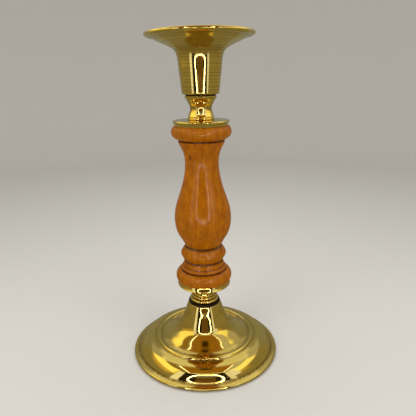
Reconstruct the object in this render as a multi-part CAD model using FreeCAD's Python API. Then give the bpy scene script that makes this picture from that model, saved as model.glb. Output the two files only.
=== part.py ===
"""Altar candlestick: a brass candle cup and foot with a turned wooden baluster between them.

Every piece is turned about one upright axis, and they are stacked on a steel tie rod that a
nut under the foot pulls tight.  Millimetres, +Z up, origin at the middle of the underside.
"""
import FreeCAD, Part
import math
import os

from FreeCAD import Vector

# ---------------------------------------------------------------- heights of the stack
FELT_THICK = 2.0
FELT_PROUD = 0.8            # how far the felt stands below the brass rim
FOOT_HEIGHT = 42.5
NECK_WASHER_THICK = 1.7
COLLAR_HEIGHT = 14.7
DISC_HEIGHT = 4.7           # at the middle, both discs are alike
BALUSTER_HEIGHT = 124.1
STEM_HEIGHT = 17.0
CUP_WASHER_THICK = 1.2
CUP_HEIGHT = 42.6

# ---------------------------------------------------------------- foot
FOOT_RADIUS = 60.6
FOOT_WALL = 2.4
FOOT_TOP_RADIUS = 13.4
FOOT_WEB = 5.0              # solid top of the neck, which the tie rod pulls on
RIM_BEAD = 2.2              # height of the rounded edge
RIM_WIDTH = 4.3             # rounded edge and flange, in to the crease
CREASE_HEIGHT = 2.9         # above the underside of the brass
SHOULDER_INSET = 9.2        # in from the rim
SHOULDER_HEIGHT = 9.4
RIDGE_INSET = 20.6          # crest of the raised ring, in from the rim
RIDGE_HEIGHT = 14.5
RIDGE_STEP = 1.5            # drop from the crest down to the plate outside it
FLARE_RADIUS = 21.6         # where the neck spreads into the bell
FLARE_HEIGHT = 23.8
FELT_INSET = 4.4            # felt edge inside the rim
FELT_GAP = 0.3

# ---------------------------------------------------------------- collar under the wood
COLLAR_BEAD_RADIUS = 11.8
COLLAR_BEAD_HEIGHT = 3.2
COLLAR_RING_RADIUS = 10.6
COLLAR_RING_HEIGHT = 2.2
COLLAR_NECK_RADIUS = 8.8
COLLAR_TOP_RADIUS = 10.6
NECK_WASHER_INSET = 0.4     # in from the foot's top edge

# ---------------------------------------------------------------- discs at both ends of the wood
DISC_RADIUS = 21.6
DISC_FACE_INSET = 1.5       # the face against the wood is smaller by this
DISC_EDGE = 4.4             # thickness at the rounded edge
DISC_LAND_RADIUS = 11.2     # flat seat for the collar or the stem

# ---------------------------------------------------------------- wooden baluster
BASE_BOTTOM_RADIUS = 21.6
BASE_TORUS_RADIUS = 22.65
BASE_TORUS_HEIGHT = 9.6
BASE_FILLET_RADIUS = 18.0
BASE_FILLET_HEIGHT = 2.3
BASE_COVE_HEIGHT = 5.9
BASE_NECK_RADIUS = 15.4
LOW_BEAD_RADIUS = 18.25
LOW_BEAD_HEIGHT = 11.7
VASE_FOOT_RADIUS = 14.5
VASE_BELLY_RADIUS = 22.4
VASE_BELLY_RISE = 22.5      # from the foot of the vase up to its widest point
VASE_NECK_RADIUS = 13.05
VASE_NECK_DROP = 15.2       # from the top fillet down to the narrowest point
TOP_FILLET_RADIUS = 17.95
TOP_FILLET_HEIGHT = 1.8
TOP_BEAD_RADIUS = 22.9
TOP_BEAD_HEIGHT = 10.9
TOP_FACE_RADIUS = 21.2
GROOVE_DEPTH = 0.9
GROOVE_WIDTH = 0.8
WOOD_BORE_CLEARANCE = 0.6   # radial, round the tie rod

# ---------------------------------------------------------------- stem under the cup
STEM_TOP_RADIUS = 12.0
STEM_RIDGE_RADIUS = 9.6
STEM_RIDGE_DROP = 4.9       # calyx height, from the top face to the ridge
STEM_NECK_RADIUS = 8.05
STEM_FLARE_RADIUS = 9.85
STEM_RING_RADIUS = 10.1
STEM_RING_HEIGHT = 1.8

# ---------------------------------------------------------------- candle cup
CUP_WASHER_INSET = 0.7      # in from the stem's top edge
CANDLE_DIAMETER = 22.0
CANDLE_CLEARANCE = 0.25     # radial
SOCKET_STRAIGHT = 16.5      # length of the straight bore
CUP_FLOOR = 2.6             # under the nut
CUP_WALL = 2.6              # round the socket, at the barrel's foot
CUP_WAIST_FLARE = 2.5       # wider than the foot, where the barrel starts to spread
CUP_WAIST_DROP = 17.8       # from the top of the pan
CUP_CORNER_FLARE = 5.25     # wider than the foot, at the sharp corner of the pan's cone
CUP_CORNER_DROP = 11.4
PAN_RADIUS = 39.6
PAN_LIP_WIDTH = 3.0         # thickened edge, in to the cone under the pan
PAN_LIP_DROP = 3.5          # height of that edge
PAN_WALL = 1.6
LIP_CREASE = 0.35           # the edge stands this far below the cone

# ---------------------------------------------------------------- M6 fittings
THREAD_RADIUS = 3.0
THREAD_CLEARANCE = 0.05     # radial, threads are drawn plain
ROD_BORE_CLEARANCE = 0.4    # radial, through the brass pieces
CUP_STUD_ENGAGED = 7.5
ROD_STUD_GAP = 2.0          # between rod end and stud end, inside the stem
NUT_ACROSS_FLATS = 10.0
NUT_THICK = 5.0
JAM_NUT_THICK = 3.2
NUT_CORNER_BEVEL = 0.7
NUT_POCKET_CLEARANCE = 2.2  # room for a socket key round the corners
NUT_POCKET_SPARE = 0.4      # the nut sits this far below the socket's floor
BASE_WASHER_RADIUS = 9.0
BASE_WASHER_THICK = 1.6
LOCK_WASHER_RADIUS = 5.6
LOCK_WASHER_THICK = 1.6
LOCK_WASHER_SLOT = 1.2
ROD_TAIL = 2.0              # threads past the nut
ROD_CHAMFER = 0.6

# ---------------------------------------------------------------- levels worked out from the stack
FOOT_BOTTOM = FELT_PROUD
FOOT_TOP = FOOT_BOTTOM + FOOT_HEIGHT
COLLAR_BOTTOM = FOOT_TOP + NECK_WASHER_THICK
COLLAR_TOP = COLLAR_BOTTOM + COLLAR_HEIGHT
WOOD_BOTTOM = COLLAR_TOP + DISC_HEIGHT
WOOD_TOP = WOOD_BOTTOM + BALUSTER_HEIGHT
STEM_BOTTOM = WOOD_TOP + DISC_HEIGHT
STEM_TOP = STEM_BOTTOM + STEM_HEIGHT
CUP_BOTTOM = STEM_TOP + CUP_WASHER_THICK
CUP_TOP = CUP_BOTTOM + CUP_HEIGHT

ROD_BORE_RADIUS = THREAD_RADIUS + ROD_BORE_CLEARANCE
TAPPED_RADIUS = THREAD_RADIUS + THREAD_CLEARANCE
NUT_CORNER_RADIUS = NUT_ACROSS_FLATS / 2 / math.cos(math.radians(30))
WEB_UNDERSIDE = FOOT_TOP - FOOT_WEB
BASE_WASHER_BOTTOM = WEB_UNDERSIDE - BASE_WASHER_THICK
LOCK_WASHER_BOTTOM = BASE_WASHER_BOTTOM - LOCK_WASHER_THICK
NUT_BOTTOM = LOCK_WASHER_BOTTOM - NUT_THICK
STUD_BOTTOM = STEM_TOP - CUP_STUD_ENGAGED
JAM_NUT_BOTTOM = CUP_BOTTOM + CUP_FLOOR
JAM_NUT_TOP = JAM_NUT_BOTTOM + JAM_NUT_THICK
SOCKET_FLOOR = JAM_NUT_TOP + NUT_POCKET_SPARE
SOCKET_RADIUS = CANDLE_DIAMETER / 2 + CANDLE_CLEARANCE
SOCKET_TOP = SOCKET_FLOOR + SOCKET_STRAIGHT

# ---------------------------------------------------------------- radii worked out from their neighbours
SHOULDER_RADIUS = FOOT_RADIUS - SHOULDER_INSET
RIDGE_RADIUS = FOOT_RADIUS - RIDGE_INSET
NECK_WASHER_RADIUS = FOOT_TOP_RADIUS - NECK_WASHER_INSET
DISC_FACE_RADIUS = DISC_RADIUS - DISC_FACE_INSET
WOOD_BORE_RADIUS = THREAD_RADIUS + WOOD_BORE_CLEARANCE
CUP_WASHER_RADIUS = STEM_TOP_RADIUS - CUP_WASHER_INSET
CUP_FOOT_RADIUS = SOCKET_RADIUS + CUP_WALL
CUP_WAIST_RADIUS = CUP_FOOT_RADIUS + CUP_WAIST_FLARE
CUP_CORNER_RADIUS = CUP_FOOT_RADIUS + CUP_CORNER_FLARE
PAN_LIP_RADIUS = PAN_RADIUS - PAN_LIP_WIDTH

AXIS = Vector(0, 0, 1)
CENTRE = Vector(0, 0, 0)


class Outline:
    """Half of a turned section, drawn point by point as (radius, height) and spun about Z."""

    def __init__(self, radius, height):
        self.first = self.pen = Vector(radius, 0, height)
        self.edges = []

    def line(self, radius, height):
        end = Vector(radius, 0, height)
        self.edges.append(Part.LineSegment(self.pen, end).toShape())
        self.pen = end
        return self

    def arc(self, via, end):
        via, end = Vector(via[0], 0, via[1]), Vector(end[0], 0, end[1])
        self.edges.append(Part.Arc(self.pen, via, end).toShape())
        self.pen = end
        return self

    def curve(self, *stops, start=None, finish=None):
        """A smooth curve through the stops, with its end directions where they are given."""
        points = [self.pen] + [Vector(radius, 0, height) for radius, height in stops]
        spline = Part.BSplineCurve()
        if start and finish:
            spline.interpolate(Points=points, InitialTangent=Vector(start[0], 0, start[1]).normalize(),
                               FinalTangent=Vector(finish[0], 0, finish[1]).normalize(), Scale=False)
        else:
            spline.interpolate(Points=points)
        self.edges.append(spline.toShape())
        self.pen = points[-1]
        return self

    def spin(self):
        self.line(self.first.x, self.first.z)
        face = Part.Face(Part.Wire(self.edges))
        return face.revolve(CENTRE, AXIS, 360)


def ring(outer, inner, bottom, thickness):
    body = Part.makeCylinder(outer, thickness, Vector(0, 0, bottom))
    return body.cut(Part.makeCylinder(inner, thickness, Vector(0, 0, bottom)))


def threaded_bar(bottom, top):
    """A plain bar of the thread's outside diameter with bevelled ends."""
    bar = Outline(0, bottom)
    bar.line(THREAD_RADIUS - ROD_CHAMFER, bottom)
    bar.line(THREAD_RADIUS, bottom + ROD_CHAMFER)
    bar.line(THREAD_RADIUS, top - ROD_CHAMFER)
    bar.line(THREAD_RADIUS - ROD_CHAMFER, top)
    bar.line(0, top)
    return bar.spin()


def hex_nut(bottom, thickness):
    corners = [Vector(NUT_CORNER_RADIUS * math.cos(math.radians(60 * step)),
                      NUT_CORNER_RADIUS * math.sin(math.radians(60 * step)), bottom)
               for step in range(7)]
    prism = Part.Face(Part.makePolygon(corners)).extrude(AXIS * thickness)
    top = bottom + thickness
    bevelled = Outline(TAPPED_RADIUS, bottom)
    bevelled.line(NUT_CORNER_RADIUS - NUT_CORNER_BEVEL, bottom)
    bevelled.line(NUT_CORNER_RADIUS, bottom + NUT_CORNER_BEVEL / 2)
    bevelled.line(NUT_CORNER_RADIUS, top - NUT_CORNER_BEVEL / 2)
    bevelled.line(NUT_CORNER_RADIUS - NUT_CORNER_BEVEL, top)
    bevelled.line(TAPPED_RADIUS, top)
    return prism.common(bevelled.spin())


# ---------------------------------------------------------------- foot and what is under it
def foot_bell(wall):
    """The foot's face from its crease to its neck, moved inwards by the wall: (radius, height)."""
    base = FOOT_BOTTOM
    stops = [
        (FOOT_RADIUS - RIM_WIDTH, CREASE_HEIGHT, 0.45, 0.9),
        (SHOULDER_RADIUS + 3.9, SHOULDER_HEIGHT - 4.4, 0.9, 0.42),
        (SHOULDER_RADIUS + 1.7, SHOULDER_HEIGHT - 1.6, 0.77, 0.64),
        (SHOULDER_RADIUS, SHOULDER_HEIGHT, 0.62, 0.78),
        (SHOULDER_RADIUS - 5.0, SHOULDER_HEIGHT + 2.6, 0.4, 0.92),
        (RIDGE_RADIUS + 2.4, RIDGE_HEIGHT - RIDGE_STEP - 0.15, 0.22, 0.97),
        (RIDGE_RADIUS - 2.2, RIDGE_HEIGHT - 0.6, 0.15, 0.99),
        ((RIDGE_RADIUS + FLARE_RADIUS) / 2 - 0.6, RIDGE_HEIGHT + 3.0, 0.4, 0.92),
        (FLARE_RADIUS, FLARE_HEIGHT, 0.7, 0.7),
        (FLARE_RADIUS - 3.4, FLARE_HEIGHT + 5.8, 0.89, 0.45),
        (FLARE_RADIUS - 5.5, FLARE_HEIGHT + 10.6, 0.93, 0.36),
    ]
    return [(radius - wall * across, base + height - wall * up)
            for radius, height, across, up in stops]


def make_foot():
    rim = FOOT_RADIUS
    base = FOOT_BOTTOM
    crease, *plate, toe, dip, bowl, flare, gullet, throat = foot_bell(0)
    bead = RIM_BEAD / 2
    ridge = base + RIDGE_HEIGHT
    outside = Outline(ROD_BORE_RADIUS, FOOT_TOP)
    outside.line(FOOT_TOP_RADIUS - 0.5, FOOT_TOP)
    outside.arc((FOOT_TOP_RADIUS - 0.15, FOOT_TOP - 0.15), (FOOT_TOP_RADIUS, FOOT_TOP - 0.5))
    outside.curve((FOOT_TOP_RADIUS + 0.75, FOOT_TOP - 3.0), throat, gullet, flare, bowl, dip,
                  start=(0.28, -1), finish=(1, -0.12))
    outside.arc((RIDGE_RADIUS - 0.3, ridge), (RIDGE_RADIUS + 1.3, ridge - 1.1))
    outside.line(RIDGE_RADIUS + 1.6, ridge - RIDGE_STEP)
    outside.curve(toe, *reversed(plate), crease, start=(1, -0.15), finish=(0.45, -1))
    outside.curve((rim - 2.0, base + RIM_BEAD + 0.1), (rim - bead / 2, base + RIM_BEAD - 0.25),
                  (rim, base + bead), start=(1, 0.05), finish=(0, -1))
    outside.arc((rim - 0.35, base + 0.3), (rim - 1.2, base))

    felt_seat = FELT_THICK - FELT_PROUD
    seat_radius = rim - FELT_INSET + FELT_GAP
    in_crease, *hollow = foot_bell(FOOT_WALL)
    outside.line(seat_radius, base)
    outside.line(seat_radius, base + felt_seat)
    outside.line(in_crease[0] - 2.2, base + felt_seat)
    outside.curve(*hollow, (hollow[-1][0] - 0.5, WEB_UNDERSIDE))
    outside.line(ROD_BORE_RADIUS, WEB_UNDERSIDE)
    return outside.spin()


def make_felt_pad():
    return Part.makeCylinder(FOOT_RADIUS - FELT_INSET, FELT_THICK)


def make_base_washer():
    return ring(BASE_WASHER_RADIUS, ROD_BORE_RADIUS, BASE_WASHER_BOTTOM, BASE_WASHER_THICK)


def make_lock_washer():
    coil = ring(LOCK_WASHER_RADIUS, TAPPED_RADIUS + THREAD_CLEARANCE, LOCK_WASHER_BOTTOM, LOCK_WASHER_THICK)
    slot = Part.makeBox(LOCK_WASHER_RADIUS * 2, LOCK_WASHER_SLOT, LOCK_WASHER_THICK * 2,
                        Vector(0, -LOCK_WASHER_SLOT / 2, LOCK_WASHER_BOTTOM - LOCK_WASHER_THICK / 2))
    slot.rotate(Vector(0, 0, LOCK_WASHER_BOTTOM), Vector(1, 0, 0), 20)
    return coil.cut(slot)


def make_foot_nut():
    return hex_nut(NUT_BOTTOM, NUT_THICK)


def make_tie_rod():
    return threaded_bar(NUT_BOTTOM - ROD_TAIL, STUD_BOTTOM - ROD_STUD_GAP)


# ---------------------------------------------------------------- between foot and wood
def make_neck_washer():
    return ring(NECK_WASHER_RADIUS, ROD_BORE_RADIUS, FOOT_TOP, NECK_WASHER_THICK)


def make_lower_collar():
    bead = COLLAR_BEAD_RADIUS
    ring_low = COLLAR_BOTTOM + COLLAR_BEAD_HEIGHT
    ring_high = ring_low + COLLAR_RING_HEIGHT
    collar = Outline(ROD_BORE_RADIUS, COLLAR_BOTTOM)
    collar.line(bead - 1.2, COLLAR_BOTTOM)
    collar.arc((bead, COLLAR_BOTTOM + COLLAR_BEAD_HEIGHT * 0.45), (bead - 1.5, ring_low - 0.1))
    collar.line(COLLAR_RING_RADIUS - 0.7, ring_low)
    collar.arc((COLLAR_RING_RADIUS, ring_low + COLLAR_RING_HEIGHT / 2), (COLLAR_RING_RADIUS - 0.9, ring_high))
    collar.line(COLLAR_NECK_RADIUS + 0.5, ring_high)
    collar.arc((COLLAR_NECK_RADIUS + 0.9, ring_high + 0.8), (COLLAR_NECK_RADIUS + 0.3, ring_high + 1.6))
    collar.arc((COLLAR_NECK_RADIUS, ring_high + 3.2), (COLLAR_NECK_RADIUS + 0.6, COLLAR_TOP - 2.0))
    collar.arc((COLLAR_TOP_RADIUS - 0.6, COLLAR_TOP - 0.9), (COLLAR_TOP_RADIUS, COLLAR_TOP))
    collar.line(ROD_BORE_RADIUS, COLLAR_TOP)
    return collar.spin()


def disc(wood_face, away):
    """A disc whose plain face is against the wood; away is +1 upwards or -1 downwards."""
    widest = wood_face + away * DISC_EDGE * 0.8
    rim = wood_face + away * DISC_EDGE
    body = Outline(ROD_BORE_RADIUS, wood_face)
    body.line(DISC_FACE_RADIUS, wood_face)
    body.arc((DISC_FACE_RADIUS + 0.45, wood_face + away * DISC_EDGE * 0.4), (DISC_RADIUS, widest))
    body.arc((DISC_RADIUS - 0.3, (widest + rim) / 2 + away * 0.12), (DISC_RADIUS - 1.2, rim))
    body.line(DISC_LAND_RADIUS, wood_face + away * DISC_HEIGHT)
    body.line(ROD_BORE_RADIUS, wood_face + away * DISC_HEIGHT)
    return body.spin()


def make_lower_disc():
    return disc(WOOD_BOTTOM, -1)


def make_upper_disc():
    return disc(WOOD_TOP, 1)


# ---------------------------------------------------------------- wood
def make_baluster():
    torus_top = WOOD_BOTTOM + BASE_TORUS_HEIGHT
    fillet_top = torus_top + BASE_FILLET_HEIGHT
    cove_top = fillet_top + BASE_COVE_HEIGHT
    bead_top = cove_top + LOW_BEAD_HEIGHT
    bead_foot = WOOD_TOP - TOP_BEAD_HEIGHT
    fillet_foot = bead_foot - TOP_FILLET_HEIGHT
    groove = BASE_FILLET_RADIUS - GROOVE_DEPTH
    top_groove = TOP_FILLET_RADIUS - GROOVE_DEPTH
    belly = bead_top + VASE_BELLY_RISE
    neck = fillet_foot - VASE_NECK_DROP
    rise = neck - belly
    swell = VASE_BELLY_RADIUS - VASE_FOOT_RADIUS
    waist = VASE_BELLY_RADIUS - VASE_NECK_RADIUS

    wood = Outline(WOOD_BORE_RADIUS, WOOD_BOTTOM)
    wood.line(BASE_BOTTOM_RADIUS, WOOD_BOTTOM)
    wood.curve((BASE_TORUS_RADIUS, WOOD_BOTTOM + BASE_TORUS_HEIGHT * 0.44),
               (BASE_TORUS_RADIUS - 1.35, WOOD_BOTTOM + BASE_TORUS_HEIGHT * 0.81),
               (BASE_FILLET_RADIUS + 0.7, torus_top - GROOVE_WIDTH / 2),
               start=(0.6, 1), finish=(-1, 0.3))
    wood.line(groove, torus_top)
    wood.line(BASE_FILLET_RADIUS, torus_top + GROOVE_WIDTH / 2)
    wood.arc((BASE_FILLET_RADIUS + 0.35, torus_top + BASE_FILLET_HEIGHT * 0.6),
             (BASE_FILLET_RADIUS - 0.3, fillet_top))
    wood.curve((BASE_NECK_RADIUS + 1.1, fillet_top + BASE_COVE_HEIGHT * 0.4),
               (BASE_NECK_RADIUS, cove_top), start=(-1, 0.35), finish=(-0.05, 1))
    wood.curve((LOW_BEAD_RADIUS - 1.2, cove_top + LOW_BEAD_HEIGHT * 0.19),
               (LOW_BEAD_RADIUS, cove_top + LOW_BEAD_HEIGHT * 0.46),
               (LOW_BEAD_RADIUS - 1.15, cove_top + LOW_BEAD_HEIGHT * 0.7),
               (VASE_FOOT_RADIUS + 0.2, bead_top - 0.5), start=(0.8, 0.6), finish=(-0.8, 0.6))
    wood.line(VASE_FOOT_RADIUS - 0.4, bead_top)
    wood.line(VASE_FOOT_RADIUS, bead_top + 0.5)
    wood.curve((VASE_FOOT_RADIUS + swell * 0.25, bead_top + VASE_BELLY_RISE * 0.2),
               (VASE_FOOT_RADIUS + swell * 0.57, bead_top + VASE_BELLY_RISE * 0.385),
               (VASE_FOOT_RADIUS + swell * 0.8, bead_top + VASE_BELLY_RISE * 0.56),
               (VASE_FOOT_RADIUS + swell * 0.93, bead_top + VASE_BELLY_RISE * 0.74),
               (VASE_BELLY_RADIUS, belly),
               (VASE_NECK_RADIUS + waist * 0.865, belly + rise * 0.23),
               (VASE_NECK_RADIUS + waist * 0.595, belly + rise * 0.41),
               (VASE_NECK_RADIUS + waist * 0.32, belly + rise * 0.59),
               (VASE_NECK_RADIUS + waist * 0.105, belly + rise * 0.78),
               (VASE_NECK_RADIUS, neck),
               (VASE_NECK_RADIUS + 0.5, neck + VASE_NECK_DROP * 0.37),
               (VASE_NECK_RADIUS + 1.65, neck + VASE_NECK_DROP * 0.64),
               (TOP_FILLET_RADIUS - 1.65, fillet_foot - 2.2),
               (TOP_FILLET_RADIUS - 0.7, fillet_foot),
               start=(0.55, 1), finish=(0.3, 1))
    wood.line(TOP_FILLET_RADIUS, bead_foot - GROOVE_WIDTH / 2)
    wood.line(top_groove, bead_foot)
    wood.line(TOP_FILLET_RADIUS, bead_foot + GROOVE_WIDTH)
    wood.curve((TOP_FILLET_RADIUS + 2.6, bead_foot + TOP_BEAD_HEIGHT * 0.22),
               (TOP_BEAD_RADIUS - 0.85, bead_foot + TOP_BEAD_HEIGHT * 0.36),
               (TOP_BEAD_RADIUS, bead_foot + TOP_BEAD_HEIGHT * 0.63),
               (TOP_FACE_RADIUS, WOOD_TOP), start=(1, 0.6), finish=(-0.8, 1))
    wood.line(WOOD_BORE_RADIUS, WOOD_TOP)
    return wood.spin()


# ---------------------------------------------------------------- stem and cup
def make_cup_stem():
    ring_top = STEM_BOTTOM + STEM_RING_HEIGHT
    ridge = STEM_TOP - STEM_RIDGE_DROP
    neck = (ring_top + ridge) / 2 + 0.9
    stem = Outline(TAPPED_RADIUS, STEM_BOTTOM)
    stem.line(STEM_RING_RADIUS - 0.5, STEM_BOTTOM)
    stem.arc((STEM_RING_RADIUS, STEM_BOTTOM + STEM_RING_HEIGHT / 2), (STEM_RING_RADIUS - 0.6, ring_top))
    stem.line(STEM_FLARE_RADIUS - 0.5, ring_top + 0.2)
    stem.line(STEM_FLARE_RADIUS, ring_top + 0.5)
    stem.curve((STEM_NECK_RADIUS + 0.65, neck - 2.85), (STEM_NECK_RADIUS, neck),
               (STEM_NECK_RADIUS + 0.6, ridge - 1.6), start=(-0.6, 1), finish=(0.6, 1))
    stem.line(STEM_RIDGE_RADIUS, ridge - 0.2)
    stem.line(STEM_RIDGE_RADIUS, ridge + 0.6)
    stem.curve((STEM_RIDGE_RADIUS + 1.6, ridge + 2.8), (STEM_TOP_RADIUS, STEM_TOP - 0.4),
               start=(0.7, 0.8), finish=(0.3, 1))
    stem.line(STEM_TOP_RADIUS - 0.3, STEM_TOP)
    stem.line(TAPPED_RADIUS, STEM_TOP)
    return stem.spin()


def make_cup_washer():
    return ring(CUP_WASHER_RADIUS, ROD_BORE_RADIUS, STEM_TOP, CUP_WASHER_THICK)


def make_candle_cup():
    waist = CUP_TOP - CUP_WAIST_DROP
    corner = CUP_TOP - CUP_CORNER_DROP
    lip = CUP_TOP - PAN_LIP_DROP
    pocket = NUT_CORNER_RADIUS + NUT_POCKET_CLEARANCE
    cup = Outline(TAPPED_RADIUS, CUP_BOTTOM)
    cup.line(CUP_FOOT_RADIUS - 1.0, CUP_BOTTOM)
    cup.arc((CUP_FOOT_RADIUS - 0.3, CUP_BOTTOM + 0.3), (CUP_FOOT_RADIUS, CUP_BOTTOM + 1.0))
    cup.line(CUP_WAIST_RADIUS - 0.7, waist - 7.0)
    cup.curve((CUP_WAIST_RADIUS, waist), (CUP_WAIST_RADIUS + 1.0, waist + 3.9),
              (CUP_CORNER_RADIUS - 0.5, corner - 0.6), start=(0.1, 1), finish=(0.7, 0.7))
    cup.line(CUP_CORNER_RADIUS, corner)
    cup.curve((CUP_CORNER_RADIUS + 3.4, corner + 1.95), (CUP_CORNER_RADIUS + 12.0, corner + 5.8),
              (PAN_LIP_RADIUS, lip + LIP_CREASE), start=(1, 0.6), finish=(1, 0.3))
    cup.line(PAN_LIP_RADIUS + 0.3, lip)
    cup.curve((PAN_LIP_RADIUS + 2.1, lip + 0.8), (PAN_RADIUS, CUP_TOP - 1.4), (PAN_RADIUS - 1.5, CUP_TOP),
              start=(1, 0.15), finish=(-1, 0.15))
    cup.line(PAN_RADIUS - 2.1, CUP_TOP)
    cup.curve((PAN_LIP_RADIUS - 1.4, lip + LIP_CREASE + PAN_WALL),
              (CUP_CORNER_RADIUS + 1.2, corner + PAN_WALL + 1.6),
              (CUP_WAIST_RADIUS - 1.6, corner - 0.4), (SOCKET_RADIUS, SOCKET_TOP),
              start=(-0.5, -1), finish=(-0.25, -1))
    cup.line(SOCKET_RADIUS, SOCKET_FLOOR)
    cup.line(pocket, SOCKET_FLOOR)
    cup.line(pocket, JAM_NUT_BOTTOM)
    cup.line(TAPPED_RADIUS, JAM_NUT_BOTTOM)
    return cup.spin()


def make_cup_stud():
    return threaded_bar(STUD_BOTTOM, JAM_NUT_TOP)


def make_cup_nut():
    return hex_nut(JAM_NUT_BOTTOM, JAM_NUT_THICK)


PIECES = {
    "felt_pad": make_felt_pad,
    "foot": make_foot,
    "base_washer": make_base_washer,
    "lock_washer": make_lock_washer,
    "foot_nut": make_foot_nut,
    "tie_rod": make_tie_rod,
    "neck_washer": make_neck_washer,
    "lower_collar": make_lower_collar,
    "lower_disc": make_lower_disc,
    "baluster": make_baluster,
    "upper_disc": make_upper_disc,
    "cup_stem": make_cup_stem,
    "cup_washer": make_cup_washer,
    "candle_cup": make_candle_cup,
    "cup_stud": make_cup_stud,
    "cup_nut": make_cup_nut,
}

os.makedirs("parts", exist_ok=True)
for name, make in PIECES.items():
    shape = make()
    if not shape.isValid() or len(shape.Solids) != 1:
        raise RuntimeError(f"{name} isn't one valid solid")
    shape.exportStep(f"parts/{name}.step")
    print(f"{name:14s} volume {shape.Volume / 1000:8.2f} cm3  "
          f"height {shape.BoundBox.ZMin:7.2f} to {shape.BoundBox.ZMax:7.2f}")
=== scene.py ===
import math

import bmesh
import bpy
import numpy as np
from bpy.props import FloatProperty, FloatVectorProperty, IntProperty, PointerProperty
from mathutils import Matrix, Vector


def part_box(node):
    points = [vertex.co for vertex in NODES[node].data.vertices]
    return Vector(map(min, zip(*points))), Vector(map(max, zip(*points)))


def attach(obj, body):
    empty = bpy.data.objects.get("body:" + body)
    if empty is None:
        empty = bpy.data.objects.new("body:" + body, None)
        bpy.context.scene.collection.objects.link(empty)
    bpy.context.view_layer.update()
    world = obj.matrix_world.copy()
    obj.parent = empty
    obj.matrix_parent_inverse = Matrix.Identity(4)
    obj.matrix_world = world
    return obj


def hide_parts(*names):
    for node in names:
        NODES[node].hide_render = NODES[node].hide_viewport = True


bl_info = {
    "name": "Altar Candlestick",
    "version": (1, 0, 0),
    "blender": (4, 5, 0),
    "location": "View3D > Sidebar > Candlestick",
    "description": "Turns the brass and wood of an altar candlestick round its packed frame",
    "category": "Add Mesh",
}

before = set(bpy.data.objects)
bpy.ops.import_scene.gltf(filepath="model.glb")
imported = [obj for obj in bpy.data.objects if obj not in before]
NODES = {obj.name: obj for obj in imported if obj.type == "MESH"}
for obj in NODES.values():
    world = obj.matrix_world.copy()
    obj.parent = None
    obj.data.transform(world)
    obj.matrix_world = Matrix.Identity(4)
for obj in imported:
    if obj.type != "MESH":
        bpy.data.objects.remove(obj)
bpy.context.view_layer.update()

# Sizes are in millimetres, and MM turns them into the scene's metres.
MM = 0.001
BORE_CLEARANCE = 0.4         # round the tie rod and the stud, in brass and in washers
WOOD_BORE_CLEARANCE = 0.6    # round the tie rod in the wood
THREAD_CLEARANCE = 0.05      # between a thread and its tapped hole
FELT_CLEARANCE = 0.3         # round the felt in its seat
FOOT_WALL = 2.4
CANDLE = 22.0                # diameter of the candle that the socket takes
CANDLE_CLEARANCE = 0.25      # round the candle in its socket
SOCKET_DEPTH = 16.5
CUP_WALL = 2.6               # round the socket, at the barrel's foot
NUT_ROOM, NUT_COVER = 2.2, 0.4      # round the nut in its pocket, and above it
FLOOR_GAP = 0.3              # the paper lies this far under the felt
KNOT = Vector((-8.6, -10.5, 166.0))
KNOT_SIZE = (1.2, 1.6, 2.6)


def low(node):
    """Height of a node's underside, in millimetres."""
    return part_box(node)[0].z / MM


def high(node):
    """Height of a node's top, in millimetres."""
    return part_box(node)[1].z / MM


def tall(node):
    """A node's own height, in millimetres."""
    return high(node) - low(node)


def wide(node):
    """Largest radius of a turned node, in millimetres."""
    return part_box(node)[1].x / MM


# ---------------------------------------------------------------- settings
def tint(name, description, default):
    return FloatVectorProperty(name=name, description=description, default=default, subtype="COLOR",
                               size=3, min=0.0, max=1.0)


def distance(name, description, default, least, most):
    """A length that is given in millimetres and kept in metres."""
    return FloatProperty(name=name, description=description, default=default * MM, min=least * MM,
                         max=most * MM, subtype="DISTANCE")


def amount(name, description, default, most=1.0):
    return FloatProperty(name=name, description=description, default=default, min=0.0, max=most)


class TurningSettings(bpy.types.PropertyGroup):
    """How finely the turned pieces are made, and what the lathe left on them"""
    segments: IntProperty(name="Segments", description="Faces round each turned piece",
                          default=176, min=48, max=256)
    outline_step: FloatProperty(name="Outline step", default=0.4, min=0.2, max=2.0,
                                description="Length of the faces along a turned outline, in millimetres")
    edge_break: FloatProperty(name="Edge break", default=0.16, min=0.02, max=0.5,
                              description="Radius that takes the sharpness off each edge, in millimetres")
    mark_spacing: distance("Lathe mark spacing", "Distance between the tool's marks on the cup", 0.8, 0.2, 3)
    mark_depth: distance("Lathe mark depth", "Depth of the tool's marks on the cup", 0.008, 0, 0.1)
    thread_pitch: distance("Thread pitch", "Pitch of the stud's thread", 1.0, 0.5, 2)
    thread_depth: distance("Thread depth", "Depth of the stud's thread", 0.55, 0.1, 1)


class BrassSettings(bpy.types.PropertyGroup):
    """Colour and polish of the brass"""
    colour: tint("Brass", "Polished brass", (0.80, 0.60, 0.17))
    tarnish: tint("Tarnish", "Brown film left in the corners", (0.20, 0.09, 0.02))
    roughness: amount("Roughness", "Roughness of the polished faces", 0.045)


class WoodSettings(bpy.types.PropertyGroup):
    """Colour and gloss of the turned wood"""
    light: tint("Light grain", "Stained wood between the fibres", (0.54, 0.172, 0.002))
    dark: tint("Dark grain", "Stained wood along the fibres", (0.33, 0.084, 0.001))
    dust: tint("Groove dust", "Dust and old polish in the grooves", (0.20, 0.12, 0.06))
    gloss: amount("Varnish roughness", "Roughness of the varnish", 0.16)


class StageSettings(bpy.types.PropertyGroup):
    """Floor, light and camera"""
    floor: tint("Floor", "Pale paper floor", (0.78, 0.76, 0.72))
    tent: amount("Tent light", "Brightness of the tent's cloth walls", 0.29, most=5.0)
    strips: amount("Strip light", "Brightness of the light strips", 14.0, most=100.0)
    room: amount("Room light", "Brightness of the light from all round", 0.42, most=5.0)


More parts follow.
